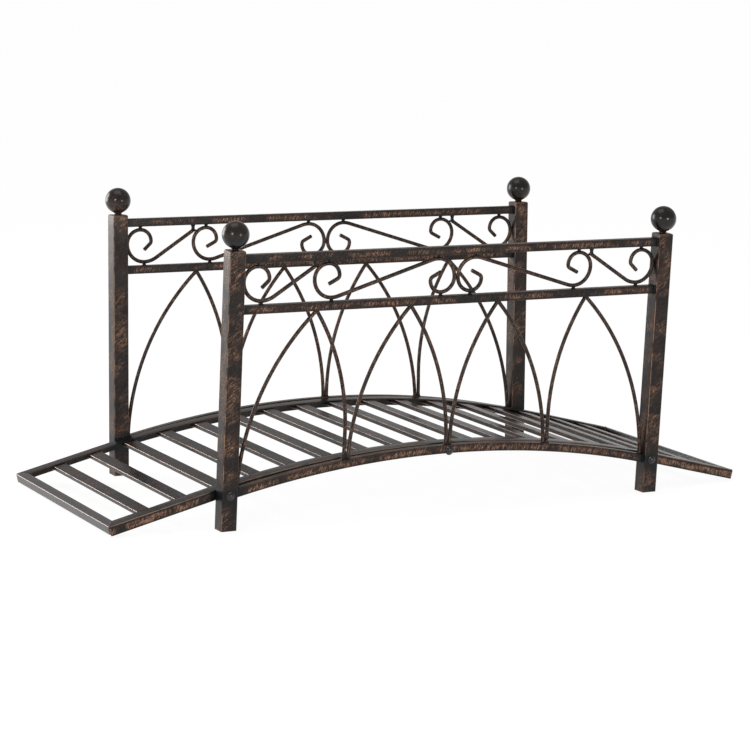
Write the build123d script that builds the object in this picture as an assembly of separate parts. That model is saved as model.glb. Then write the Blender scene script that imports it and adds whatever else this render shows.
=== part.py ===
from build123d import *
import os
from math import asin, atan2, cos, degrees, hypot, radians, sin, sqrt, tan

# Arched garden bridge of painted steel tube and rod, in millimetres. X runs along the bridge,
# Y across it and Z is up. The origin is on the ground, below the middle of the deck.

# Deck: two bent angle bars carry flat tube slats, and an angle bar closes each end.
DECK_HALF_LENGTH = 551.0
DECK_ARC_HALF = 398.0
DECK_RADIUS = 1660.0
DECK_END_GAP = 2.4
SIDE_FLANGE = 23.0
SIDE_LEG = 15.0
END_FLANGE = 15.0
END_LEG = 13.0
ANGLE_WALL = 2.0
ANGLE_BEND = 1.8
CORNER_RADIUS = 5.0
SLATS_EACH_SIDE = 8
LAST_SLAT_INSET = 67.0
SLAT_WIDTH = 20.0
SLAT_THICKNESS = 7.0
SLAT_ROUND = 1.2

# Railings: one welded panel on each side, leaning a little outwards from the ground up.
POST_SPACING = 740.0
POST_TRACK = 410.0
POST_SIZE = 25.0
POST_HEIGHT = 418.6
POST_CORNER = 1.6
POST_CAP_ROUND = 2.4
RAILING_LEAN = 2.2
RAIL_SIZE = 13.0
RAIL_CORNER = 1.5
TOP_RAIL_DROP = 7.0
SCROLL_BAND = 62.3
LOWER_RAIL_RADIUS = 1567.5
LOWER_RAIL_BEND_HALF = 340.0

# Finials: a ball on a short neck.
BALL_RADIUS = 20.2
NECK_RADIUS = 5.4
NECK_LENGTH = 3.0
NECK_FILLET = 1.2

# Scrollwork and pointed arches, bent from one size of round rod.
ROD_RADIUS = 3.0
ROD_GAP = 0.3
STUD_HEIGHT = 2.4
STUD_RADIUS = 2.7
END_SCROLL_BAY = 115.0
CURL_CROWN_RADIUS = 22.5
CURL_INNER_RADIUS = 18.5
FOOT_BEND_RADIUS = 38.0
HOOK_RADIUS = 6.0
HOOK_TURN = 63.0
HOOK_LENGTH = 16.0
END_HOOK_TURN = 47.0
END_HOOK_LENGTH = 14.0
END_BAR_DROP = 2.0
QUARTER_FOOT = 175.0
INNER_APEX = 75.8
OUTER_APEX = 234.0
OUTER_ARCH_UPRIGHT = 42.0
INNER_LEG_RADIUS = 362.0
OUTER_LEG_RADIUS = 384.0
APEX_WELD_RADIUS = 3.4

# Sizes that follow from the ones above.
POST_X = POST_SPACING / 2
INNER_FACE = POST_X - POST_SIZE / 2
LEAN = radians(RAILING_LEAN)
ARC_ANGLE = asin(DECK_ARC_HALF / DECK_RADIUS)
END_DROP = DECK_RADIUS * (1 - cos(ARC_ANGLE)) + (DECK_HALF_LENGTH - DECK_ARC_HALF) * tan(ARC_ANGLE)
DECK_CROWN = DECK_END_GAP + SIDE_LEG * cos(ARC_ANGLE) + END_DROP
DECK_HALF_LINE = DECK_RADIUS * ARC_ANGLE + (DECK_HALF_LENGTH - DECK_ARC_HALF) / cos(ARC_ANGLE)
TOP_RAIL_BOTTOM = POST_HEIGHT - TOP_RAIL_DROP - RAIL_SIZE
MID_RAIL_TOP = TOP_RAIL_BOTTOM - SCROLL_BAND
MID_RAIL_BOTTOM = MID_RAIL_TOP - RAIL_SIZE
ROD_HIGH = TOP_RAIL_BOTTOM - STUD_HEIGHT - ROD_RADIUS
ROD_LOW = MID_RAIL_TOP + STUD_HEIGHT + ROD_RADIUS
CURL_OUTER_RADIUS = ROD_HIGH - ROD_LOW - CURL_CROWN_RADIUS
HALF_GAP = ROD_RADIUS + ROD_GAP / 2
LONG_SCROLL_START = -(INNER_FACE - END_SCROLL_BAY) + ROD_RADIUS


def deck_point(x, depth=0.0):
    """X and Z of a point below the deck's top line, at a depth measured square to the line."""
    side = 1 if x > 0 else -1
    angle = asin(x / DECK_RADIUS) if abs(x) < DECK_ARC_HALF else side * ARC_ANGLE
    past_arc = max(abs(x) - DECK_ARC_HALF, 0.0)
    top = DECK_CROWN - DECK_RADIUS * (1 - cos(angle)) - past_arc * tan(ARC_ANGLE)
    return x - depth * sin(angle), top - depth * cos(angle)


def deck_station(length):
    """X on the deck's top line, and the slope in degrees, at a length along it from mid span."""
    side = 1 if length > 0 else -1
    arc_length = DECK_RADIUS * ARC_ANGLE
    if abs(length) < arc_length:
        return DECK_RADIUS * sin(length / DECK_RADIUS), degrees(length / DECK_RADIUS)
    past_arc = (abs(length) - arc_length) * cos(ARC_ANGLE)
    return side * (DECK_ARC_HALF + past_arc), side * degrees(ARC_ANGLE)


def upright_point(x, z):
    return Vector(x, 0, z)


def deck_line():
    """Straight, arched and straight edge of the deck's top line."""
    stations = (-DECK_HALF_LENGTH, -DECK_ARC_HALF, 0.0, DECK_ARC_HALF, DECK_HALF_LENGTH)
    start, left, crown, right, end = [upright_point(*deck_point(x)) for x in stations]
    return Wire([Line(start, left), ThreePointArc(left, crown, right), Line(right, end)])


def lower_rail_height(x):
    """Height of a lower rail's centre line, whose crown is level with the deck's top."""
    bent = min(abs(x), LOWER_RAIL_BEND_HALF)
    fall = LOWER_RAIL_RADIUS - sqrt(LOWER_RAIL_RADIUS ** 2 - bent ** 2)
    straight_fall = (abs(x) - bent) * tan(asin(bent / LOWER_RAIL_RADIUS))
    return DECK_CROWN - RAIL_SIZE / 2 - fall - straight_fall


def post_inner_y(height):
    """Distance from mid bridge to a post's inner face at a height."""
    return POST_TRACK / 2 - POST_SIZE / 2 / cos(LEAN) + height * tan(LEAN)


DECK_HALF_WIDTH = post_inner_y(deck_point(POST_X + POST_SIZE / 2, SIDE_LEG)[1])


def at_right_end(shape):
    """Place a shape drawn at the origin on the deck's right end, square to the slope there."""
    x, z = deck_point(DECK_HALF_LENGTH)
    return Pos(x, 0, z) * Rot(0, degrees(ARC_ANGLE), 0) * shape


def end_region():
    """Block that holds the right end bar, with its ends on the mitres of the corners."""
    wide = DECK_HALF_WIDTH
    narrow = DECK_HALF_WIDTH - SIDE_FLANGE
    outline = Polyline((0, -wide), (0, wide), (-END_FLANGE, narrow), (-END_FLANGE, -narrow), close=True)
    return at_right_end(extrude(make_face(outline), SIDE_LEG, both=True))


def corner_waste():
    """What the rounding takes off the two right corners of the deck."""
    square = Rectangle(CORNER_RADIUS, CORNER_RADIUS, align=Align.MIN)
    waste = extrude(square - Circle(CORNER_RADIUS), SIDE_LEG, both=True)
    rear = Pos(-CORNER_RADIUS, DECK_HALF_WIDTH - CORNER_RADIUS, 0) * waste
    return at_right_end(rear + mirror(rear, about=Plane.XZ))


def angle_section(flange, leg):
    """Angle bar section: the flange runs from the rounded corner at the origin, the leg hangs."""
    outline = Polyline((0, 0), (flange, 0), (flange, -ANGLE_WALL), (ANGLE_WALL, -ANGLE_WALL),
                       (ANGLE_WALL, -leg), (0, -leg), close=True)
    section = make_face(outline)
    corner = section.vertices().sort_by(lambda vertex: hypot(vertex.X, vertex.Y))[0]
    return fillet(corner, ANGLE_BEND)


def side_rail():
    """Front side rail: a flange on top and a leg outside, bent to the deck's line."""
    line = deck_line()
    start = Plane(line @ 0, x_dir=(0, 1, 0), z_dir=line % 0)
    rail = Pos(0, -DECK_HALF_WIDTH, 0) * sweep(start * angle_section(SIDE_FLANGE, SIDE_LEG), path=line)
    for cutter in (end_region(), corner_waste()):
        rail -= cutter
        rail -= mirror(cutter, about=Plane.YZ)
    return rail


def end_rail():
    """Right end rail: a flange on top and a leg outside."""
    inwards = Plane((0, 0, 0), x_dir=(-1, 0, 0), z_dir=(0, 1, 0))
    bar = extrude(inwards * angle_section(END_FLANGE, END_LEG), DECK_HALF_WIDTH, both=True)
    return (at_right_end(bar) & end_region()) - corner_waste()


def slat(length):
    """Flat tube across the deck, held up against the flanges of the side rails."""
    x, slope = deck_station(length)
    sag = DECK_RADIUS - sqrt(DECK_RADIUS ** 2 - (SLAT_WIDTH / 2) ** 2)
    seat_x, seat_z = deck_point(x, ANGLE_WALL + sag)
    outline = RectangleRounded(SLAT_WIDTH, SLAT_THICKNESS, SLAT_ROUND)
    tube = extrude(Plane.XZ * Pos(0, -SLAT_THICKNESS / 2) * outline, DECK_HALF_WIDTH - ANGLE_WALL, both=True)
    return Pos(seat_x, 0, seat_z) * Rot(0, slope, 0) * tube


def lean_out(shape):
    """Put a piece of the front railing, drawn upright above the X axis, in its leaning place."""
    return Pos(0, -POST_TRACK / 2, 0) * Rot(RAILING_LEAN, 0, 0) * shape


def post():
    """Right post of the front railing, capped with a rounded edge and cut level with the ground."""
    spare = POST_SIZE * tan(LEAN)
    tube = extrude(RectangleRounded(POST_SIZE, POST_SIZE, POST_CORNER), POST_HEIGHT + spare)
    tube = fillet(tube.faces().sort_by(Axis.Z)[-1].edges(), POST_CAP_ROUND)
    ground = Box(2 * POST_SIZE, 2 * POST_TRACK, POST_SIZE, align=(Align.CENTER, Align.CENTER, Align.MAX))
    return Pos(POST_X, 0, 0) * (lean_out(Pos(0, 0, -spare) * tube) - ground)


def finial():
    """Ball on a neck, turned about the axis of the front right post."""
    neck_top = (NECK_RADIUS, NECK_LENGTH)
    ball_centre = NECK_LENGTH + sqrt(BALL_RADIUS ** 2 - NECK_RADIUS ** 2)
    crown = (0, ball_centre + BALL_RADIUS)
    profile = [Line((0, 0), (NECK_RADIUS, 0)), Line((NECK_RADIUS, 0), neck_top),
               ThreePointArc(neck_top, (BALL_RADIUS, ball_centre), crown), Line(crown, (0, 0))]
    turned = revolve(Plane.XZ * make_face(profile), Axis.Z)
    joint = turned.edges().filter_by(GeomType.CIRCLE).sort_by(lambda edge: abs(edge.center().Z - NECK_LENGTH))
    turned = fillet(joint[0], NECK_FILLET)
    return lean_out(Pos(POST_X, 0, POST_HEIGHT) * turned)


def straight_rail(bottom):
    """Square tube between the two posts of a railing."""
    section = Plane.YZ * RectangleRounded(RAIL_SIZE, RAIL_SIZE, RAIL_CORNER)
    return Pos(0, 0, bottom + RAIL_SIZE / 2) * extrude(section, INNER_FACE, both=True)


def lower_rail():
    """Arched square tube with short straight ends, between the two posts of a railing."""
    stations = (-POST_X, -LOWER_RAIL_BEND_HALF, 0, LOWER_RAIL_BEND_HALF, POST_X)
    start, left, crown, right, end = [upright_point(x, lower_rail_height(x)) for x in stations]
    line = Wire([Line(start, left), ThreePointArc(left, crown, right), Line(right, end)])
    section = Plane(line @ 0, x_dir=(0, 1, 0), z_dir=line % 0) * RectangleRounded(RAIL_SIZE, RAIL_SIZE, RAIL_CORNER)
    tube = sweep(section, path=line)
    return tube & Box(2 * INNER_FACE, POST_SIZE, 2 * POST_HEIGHT)


def rod(edges):
    """Round rod along a chain of edges."""
    path = Wire(edges)
    return sweep(Plane(path @ 0, z_dir=path % 0) * Circle(ROD_RADIUS), path=path)


def stretch(start, heading, length):
    """Straight edge in the railing's plane that leaves a point at a heading in degrees."""
    step = Vector(cos(radians(heading)), 0, sin(radians(heading))) * length
    return Line(start, start + step)


def clockwise_bend(start, heading, radius, turn):
    """Arc in the railing's plane that turns clockwise by an angle in degrees."""
    centre = start + Vector(sin(radians(heading)), 0, -cos(radians(heading))) * radius
    points = []
    for share in (0.5, 1.0):
        angle = radians(heading + 90 - share * turn)
        points.append(centre + Vector(cos(angle), 0, sin(angle)) * radius)
    return ThreePointArc(start, *points)


def scroll_curl(bar_top, foot_x, hook_turn, hook_length):
    """Rod that runs down a sloping bar, rounds its foot, climbs over the crown and hooks inwards."""
    across = bar_top.X - foot_x
    up = bar_top.Z - ROD_LOW - FOOT_BEND_RADIUS
    reach = hypot(across, up)
    slope = degrees(asin(FOOT_BEND_RADIUS / reach) + atan2(up, across))
    heading = 180 + slope
    edges = [stretch(bar_top, heading, sqrt(reach ** 2 - FOOT_BEND_RADIUS ** 2))]
    turns = ((FOOT_BEND_RADIUS, slope), (CURL_OUTER_RADIUS, 90), (CURL_CROWN_RADIUS, 90),
             (CURL_INNER_RADIUS, 90), (HOOK_RADIUS, hook_turn))
    for radius, turn in turns:
        edges.append(clockwise_bend(edges[-1] @ 1, heading, radius, turn))
        heading -= turn
    edges.append(stretch(edges[-1] @ 1, heading, hook_length))
    return rod(edges)


def stud(x, low, high):
    """Short stud that joins a rod to the rail above or below it."""
    return Pos(x, 0, low) * Cylinder(STUD_RADIUS, high - low, align=(Align.CENTER, Align.CENTER, Align.MIN))


def curl_studs(start):
    """Studs under the foot and over the crown of a curl whose outer side is at start."""
    foot = stud(start + CURL_OUTER_RADIUS, MID_RAIL_TOP, ROD_LOW)
    return foot + stud(start + CURL_CROWN_RADIUS, ROD_HIGH, TOP_RAIL_BOTTOM)


def long_scroll():
    """Scroll left of the middle: the right curl is the left one turned half round."""
    middle = upright_point((LONG_SCROLL_START - HALF_GAP) / 2, (ROD_HIGH + ROD_LOW) / 2)
    foot_x = LONG_SCROLL_START + CURL_OUTER_RADIUS
    half = scroll_curl(middle, foot_x, HOOK_TURN, HOOK_LENGTH) + curl_studs(LONG_SCROLL_START)
    half_turn = Pos(middle) * Rot(0, 180, 0) * Pos(-middle)
    return half + half_turn * half


def end_scroll():
    """Curl beside the left post, on a bar that ends next to the long scroll's crown."""
    start = -INNER_FACE + HALF_GAP
    crown = LONG_SCROLL_START + CURL_CROWN_RADIUS
    rise = CURL_CROWN_RADIUS - END_BAR_DROP
    bar_top = upright_point(crown - sqrt((CURL_CROWN_RADIUS + 2 * HALF_GAP) ** 2 - rise ** 2), ROD_HIGH - END_BAR_DROP)
    curl = scroll_curl(bar_top, start + CURL_OUTER_RADIUS, END_HOOK_TURN, END_HOOK_LENGTH)
    return curl + curl_studs(start) + stud(bar_top.X - STUD_RADIUS, bar_top.Z - END_BAR_DROP, TOP_RAIL_BOTTOM)


def upright_leg(foot_x, apex, upright):
    """Leg that stands upright in the lower rail and then bends over to the apex."""
    foot = upright_point(foot_x, lower_rail_height(foot_x))
    spring = foot + Vector(0, 0, RAIL_SIZE / 2 + upright)
    return rod([Line(foot, spring), TangentArc(spring, apex, tangent=(0, 0, 1))])


def bowed_leg(foot_x, apex, radius):
    """Leg of one radius that bows away from mid span between its foot and the apex."""
    foot = upright_point(foot_x, lower_rail_height(foot_x))
    chord = apex - foot
    bow = radius - sqrt(radius ** 2 - (chord.length / 2) ** 2)
    outwards = Vector(chord.Z, 0, -chord.X).normalized()
    return rod([ThreePointArc(foot, (foot + apex) / 2 + outwards * bow, apex)])


def arch(inner_foot, outer_foot, apex_x, inner_upright, outer_radius, rails):
    """Pointed arch, welded at its apex and cut to fit between the lower rail and the mid rail."""
    apex = upright_point(apex_x, MID_RAIL_BOTTOM)
    legs = upright_leg(inner_foot, apex, inner_upright) + bowed_leg(outer_foot, apex, outer_radius)
    return legs + Pos(apex) * Sphere(APEX_WELD_RADIUS) - rails


def arches(rails):
    """The two pointed arches right of the middle of a railing."""
    inner = arch(HALF_GAP, QUARTER_FOOT - HALF_GAP, INNER_APEX, 0, INNER_LEG_RADIUS, rails)
    outer_feet = (QUARTER_FOOT + HALF_GAP, INNER_FACE - HALF_GAP)
    return inner + arch(*outer_feet, OUTER_APEX, OUTER_ARCH_UPRIGHT, OUTER_LEG_RADIUS, rails)


def front_and_rear(name, shape):
    """Export a placed front piece, and its mirror image at the rear."""
    export_step(shape, "parts/" + name + "_front.step")
    export_step(mirror(shape, about=Plane.XZ), "parts/" + name + "_rear.step")


def left_and_right(name, shape, drawn_left=False):
    """Export both placed halves of a front piece that has a twin across the middle."""
    twin = mirror(shape, about=Plane.YZ)
    front_and_rear(name + "_left", shape if drawn_left else twin)
    front_and_rear(name + "_right", twin if drawn_left else shape)


os.makedirs("parts", exist_ok=True)

front_and_rear("side_rail", side_rail())
right_end = end_rail()
export_step(right_end, "parts/end_rail_right.step")
export_step(mirror(right_end, about=Plane.YZ), "parts/end_rail_left.step")
pitch = (DECK_HALF_LINE - LAST_SLAT_INSET) / SLATS_EACH_SIDE
for number in range(-SLATS_EACH_SIDE, SLATS_EACH_SIDE + 1):
    name = "slat_" + str(number + SLATS_EACH_SIDE + 1).zfill(2)
    export_step(slat(number * pitch), "parts/" + name + ".step")

left_and_right("post", post())
left_and_right("finial", finial())
front_and_rear("top_rail", lean_out(straight_rail(TOP_RAIL_BOTTOM)))
mid_rail = straight_rail(MID_RAIL_BOTTOM)
front_and_rear("mid_rail", lean_out(mid_rail))
arched_rail = lower_rail()
front_and_rear("lower_rail", lean_out(arched_rail))
left_and_right("arches", lean_out(arches(mid_rail + arched_rail)))
left_and_right("long_scroll", lean_out(long_scroll()), drawn_left=True)
left_and_right("end_scroll", lean_out(end_scroll()), drawn_left=True)
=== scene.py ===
import logging
from dataclasses import dataclass, field
from enum import Enum
from math import asin, atan2, cos, hypot, pi, radians, sin, sqrt, tan

import bpy
import numpy as np
from mathutils import Matrix, Vector

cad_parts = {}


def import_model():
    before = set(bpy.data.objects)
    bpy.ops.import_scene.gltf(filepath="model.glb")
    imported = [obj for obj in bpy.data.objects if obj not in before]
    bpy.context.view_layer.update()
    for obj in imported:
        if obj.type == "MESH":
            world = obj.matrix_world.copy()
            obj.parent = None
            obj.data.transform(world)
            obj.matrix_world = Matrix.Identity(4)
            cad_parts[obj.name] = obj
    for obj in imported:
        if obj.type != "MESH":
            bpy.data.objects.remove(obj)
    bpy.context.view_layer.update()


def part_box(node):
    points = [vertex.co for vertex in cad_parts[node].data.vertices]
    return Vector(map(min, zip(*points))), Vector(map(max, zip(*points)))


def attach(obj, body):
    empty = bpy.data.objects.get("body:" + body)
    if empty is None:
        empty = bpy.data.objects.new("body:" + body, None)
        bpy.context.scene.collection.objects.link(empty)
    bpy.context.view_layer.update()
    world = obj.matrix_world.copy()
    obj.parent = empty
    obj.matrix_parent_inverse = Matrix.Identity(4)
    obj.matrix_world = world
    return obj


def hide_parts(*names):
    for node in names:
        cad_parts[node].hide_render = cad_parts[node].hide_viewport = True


# Arched garden bridge of powder-coated steel with a hand-brushed copper finish. All sizes are in
# millimetres and are turned to metres where a mesh or a pattern is made. X runs along the bridge,
# Y towards the rear railing and Z up, with the origin on the ground below mid span.

log = logging.getLogger("garden_bridge")

MM = 0.001
ARC_STEPS = 6
ROD_FACETS = 20
MARKS = "finish_marks"
COLOUR_OUT = 2
ACROSS = np.array([0.0, 1.0, 0.0])
COPPER_SLOT = "copper_brushed_black"
BLACK_SLOT = "satin_black"


class Way(Enum):
    """Choice between the two ways along an axis, by its sign."""

    @property
    def word(self) -> str:
        """The choice as it stands in the names of pieces."""
        return self.name.lower()


class Side(Way):
    """Railing of the bridge, with the sign of its Y."""

    FRONT = -1
    REAR = 1


class Hand(Way):
    """End of the bridge, with the sign of its X."""

    LEFT = -1
    RIGHT = 1


class Stroke(Enum):
    """Way the copper was brushed on: turns in degrees that bring a pattern's long axis, X, into line."""

    ACROSS_DECK = (0.0, 0.0, 90.0)
    SLANTING = (0.0, -38.0, 0.0)
    STEEP = (0.0, -70.0, 0.0)


def linear(hex_colour: str) -> tuple[float, float, float, float]:
    """Turn an sRGB hex colour to the linear colour that a shader takes.

    Args:
        hex_colour: Six hex digits after a hash sign.
    Returns:
        Linear red, green and blue, and an alpha of 1.
    """
    parts = [int(hex_colour[place:place + 2], 16) / 255 for place in (1, 3, 5)]
    return (*[v / 12.92 if v <= 0.04045 else ((v + 0.055) / 1.055) ** 2.4 for v in parts], 1.0)


def add_node(tree: bpy.types.NodeTree, kind: str, inputs: dict | None = None, out: int | str = 0,
             **settings) -> bpy.types.NodeSocket | None:
    """Add a node with its settings, and fill or link its inputs.

    Args:
        tree: Node tree that gets the node.
        kind: Blender's name of the node type, without the ShaderNode in front.
        inputs: Value, or output socket to link, for each input socket's name or number.
        out: Name or number of the output that the caller goes on with.
        settings: Properties of the node itself.
    Returns:
        That output, or None on a node that has none.
    """
    node = tree.nodes.new(f"ShaderNode{kind}")
    for name, value in settings.items():
        setattr(node, name, value)
    for name, value in (inputs or {}).items():
        if isinstance(value, bpy.types.NodeSocket):
            tree.links.new(value, node.inputs[name])
        else:
            node.inputs[name].default_value = value
    return node.outputs[out] if node.outputs else None


def unit_at(turns: float | np.ndarray) -> np.ndarray:
    """Unit vectors (cos a, sin a) at angles in radians."""
    return np.stack([np.cos(turns), np.sin(turns)], axis=-1)


def pattern(tree: bpy.types.NodeTree, place: bpy.types.NodeSocket, size: float, low: float, high: float,
            detail: float = 3.0) -> bpy.types.NodeSocket:
    """Add a noise whose spots are about a given size, drawn out so that low gives 0 and high gives 1.

    Args:
        tree: Node tree that gets the pattern.
        place: Coordinates in metres.
        size: Size of its spots in millimetres.
        low: Noise value that becomes 0.
        high: Noise value that becomes 1.
        detail: Number of finer layers.
    Returns:
        The pattern, from 0 to 1.
    """
    noise = add_node(tree, "TexNoise", {"Vector": place, "Scale": 1 / (size * MM), "Detail": detail})
    return add_node(tree, "MapRange", {"Value": noise, "From Min": low, "From Max": high},
                    interpolation_type="SMOOTHSTEP")


@dataclass(frozen=True)
class BrushedCopperCoat:
    """Charcoal powder coat with antique copper paint dragged over it by a dry brush.

    The eye sees a dark satin ground with a faint grain, warm hatched patches as long as a brush
    stroke that keep to the middle of a face, and thin bright lines along the edges, which are copper
    caught by the brush and, where a finish makes them pale, a painted highlight.
    Where a piece is marked black, near welds and where the side rails meet the posts, the ground is
    left black. Bristle marks, blotches and grain are about twice as coarse as the real ones, so that
    they show at the size of the picture.
    """

    name: str
    stroke: Stroke

    # How much copper there is, where it lies and how it breaks up, as shares or noise values.
    coverage: float = 1.0
    full_coat: float = 0.8
    low: float = 0.44
    patch_fade: float = 0.16
    rim: float = 1.0
    rim_break: float = 1.0
    rim_sharpness: float = 2.5
    middle_pull: float = 0.6
    middle_reach: float = 0.55
    blotch_share: float = 0.5
    fleck_share: float = 0.3
    dust: float = 0.16

    # How it shines and stands out.
    roughness: float = 0.27
    copper_roughness: float = 0.12
    grain_roughness: float = 0.07
    specular: float = 0.22
    copper_metal: float = 0.55
    relief: float = 0.3
    copper_relief: float = 0.6
    relief_mm: float = 0.1

    # Colours as seen, and the sizes of their patterns.
    ground_dark: str = "#0f1113"
    ground_warm: str = "#231b17"
    copper_dark: str = "#46342b"
    copper_mid: str = "#745443"
    copper_light: str = "#b38d75"
    # Colour of the edge line: copper wear, and a painted highlight in the finishes that set it pale.
    rim_colour: str = "#b0876b"
    patch_mm: float = 46.0
    wipe_mm: float = 34.0
    rim_gap_mm: float = 24.0
    streak_mm: float = 11.0
    tone_mm: float = 7.0
    blotch_mm: float = 4.2
    bristle_mm: float = 1.7
    fleck_mm: float = 1.44
    grain_mm: float = 0.9

    def build(self) -> bpy.types.Material:
        """Make the material.

        Returns:
            A material that reads Object coordinates and the marks stored on each piece.
        """
        material = bpy.data.materials.new(self.name)
        material.use_nodes = True
        tree = material.node_tree
        tree.nodes.clear()
        place = add_node(tree, "TexCoord", out="Object")
        marks = add_node(tree, "Attribute", out="Vector", attribute_name=MARKS)
        edge, middle, black_mark = (add_node(tree, "SeparateXYZ", {0: marks}, out=axis) for axis in "XYZ")

        # Patches say where the brush went. Hatching and blotches say how the paint took there.
        patch = pattern(tree, place, self.patch_mm, self.low, self.low + self.patch_fade, detail=2.0)
        drawn = add_node(tree, "Mapping", {
            "Vector": place, "Rotation": [radians(a) for a in self.stroke.value],
            "Scale": (self.streak_mm, self.bristle_mm, self.bristle_mm)}, vector_type="TEXTURE")
        hatch = pattern(tree, drawn, 1.0, 0.42, 0.66)
        blotch = pattern(tree, place, self.blotch_mm, 0.46, 0.66, detail=4.0)
        fleck = pattern(tree, place, self.fleck_mm, 0.38, 0.70, detail=2.0)
        blotch = add_node(tree, "Math", {0: blotch, 1: self.blotch_share}, operation="MULTIPLY")
        taken = add_node(tree, "Math", {0: hatch, 1: blotch}, operation="MAXIMUM")
        taken = add_node(tree, "Math", {0: fleck, 1: self.fleck_share, 2: taken}, operation="MULTIPLY_ADD")
        kept = add_node(tree, "MapRange", {
            "Value": middle, "From Max": self.middle_reach, "To Min": 1 - self.middle_pull, "To Max": 1.0})
        brushed = patch
        for share in (taken, kept, self.full_coat * self.coverage):
            brushed = add_node(tree, "Math", {0: brushed, 1: share}, operation="MULTIPLY")
        dust = add_node(tree, "Math", {0: fleck, 1: self.dust}, operation="MULTIPLY")
        brushed = add_node(tree, "Math", {0: brushed, 1: dust}, operation="MAXIMUM")

        # Along the edges the paint is a thin line that comes and goes. It is copper wear, and where its
        # colour is pale it is a painted highlight.
        broken = pattern(tree, place, self.rim_gap_mm, 0.40 * self.rim_break, 0.58)
        line = add_node(tree, "Math", {0: edge, 1: self.rim_sharpness}, operation="POWER")
        for share in (broken, self.rim):
            line = add_node(tree, "Math", {0: line, 1: share}, operation="MULTIPLY")
        # Where a piece is marked black, near welds and where the side rails meet the posts, copper and warm
        # ground are left off.
        clean = add_node(tree, "Math", {0: 1.0, 1: black_mark}, operation="SUBTRACT", use_clamp=True)
        copper = add_node(tree, "Math", {0: brushed, 1: line}, operation="MAXIMUM", use_clamp=True)
        copper = add_node(tree, "Math", {0: copper, 1: clean}, operation="MULTIPLY")

        # The ground turns from blue-black to brown over a few centimetres, as wiped pigment does.
        wiped = pattern(tree, place, self.wipe_mm, 0.40, 0.64)
        wiped = add_node(tree, "Math", {0: wiped, 1: clean}, operation="MULTIPLY")
        ground = add_node(tree, "Mix", {
            "Factor": wiped, "A": linear(self.ground_dark), "B": linear(self.ground_warm)},
            COLOUR_OUT, data_type="RGBA")

        # The paint lightens from its own clouds to the bristle marks and then to the edge line, whose colour
        # is rubbed copper, and a painted highlight in the pale finishes.
        tone = pattern(tree, place, self.tone_mm, 0.36, 0.66)
        bright = add_node(tree, "Math", {0: hatch, 1: fleck}, operation="MULTIPLY")
        paint = linear(self.copper_dark)
        for share, shade in ((tone, self.copper_mid), (bright, self.copper_light), (line, self.rim_colour)):
            paint = add_node(tree, "Mix", {"Factor": share, "A": paint, "B": linear(shade)},
                             COLOUR_OUT, data_type="RGBA")
        colour = add_node(tree, "Mix", {"Factor": copper, "A": ground, "B": paint},
                          COLOUR_OUT, data_type="RGBA")

        # Copper is a little rougher than the ground and stands just proud of it.
        grain = pattern(tree, place, self.grain_mm, 0.3, 0.7, detail=2.0)
        gloss = self.roughness
        for share, rise in ((copper, self.copper_roughness), (grain, self.grain_roughness)):
            gloss = add_node(tree, "Math", {0: share, 1: rise, 2: gloss}, operation="MULTIPLY_ADD")
        metallic = add_node(tree, "Math", {0: copper, 1: self.copper_metal}, operation="MULTIPLY")
        height = add_node(tree, "Math", {0: copper, 1: self.copper_relief, 2: grain},
                          operation="MULTIPLY_ADD")
        bump = add_node(tree, "Bump", {
            "Strength": self.relief, "Distance": self.relief_mm * MM, "Height": height})
        shader = add_node(tree, "BsdfPrincipled", {
            "Base Color": colour, "Roughness": gloss, "Metallic": metallic,
            "Specular IOR Level": self.specular, "Normal": bump})
        add_node(tree, "OutputMaterial", {"Surface": shader})
        return material


@dataclass(frozen=True)
class Section:
    """Closed outline of a bar, with the marks of each point.

    The marks are three shares from 0 to 1: worn edge, which carries the edge line of copper wear
    and painted highlight, middle of a face, and black near welds and joints.
    """

    points: np.ndarray
    marks: np.ndarray

    @property
    def half(self) -> np.ndarray:
        """Half of the outline's size each way."""
        return np.ptp(self.points, axis=0) / 2


@dataclass(frozen=True)
class Skin:
    """Closed surface on a grid, rings along the piece by points around it, with its marks."""

    points: np.ndarray
    marks: np.ndarray

    def blackened(self, places: np.ndarray, reach: float, axis: int) -> "Skin":
        """Mark the surface black near given places, such as welds and the posts, fading over half of the
        reach.

        Args:
            places: Middles of those places along one axis.
            reach: Distance at which the black has gone.
            axis: Number of that axis.
        Returns:
            The marked surface.
        """
        gap = np.abs(self.points[..., axis, None] - places).min(axis=-1)
        marks = self.marks.copy()
        marks[..., 2] = np.maximum(marks[..., 2], np.clip(2 - 2 * gap / reach, 0, 1))
        return Skin(self.points, marks)


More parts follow.
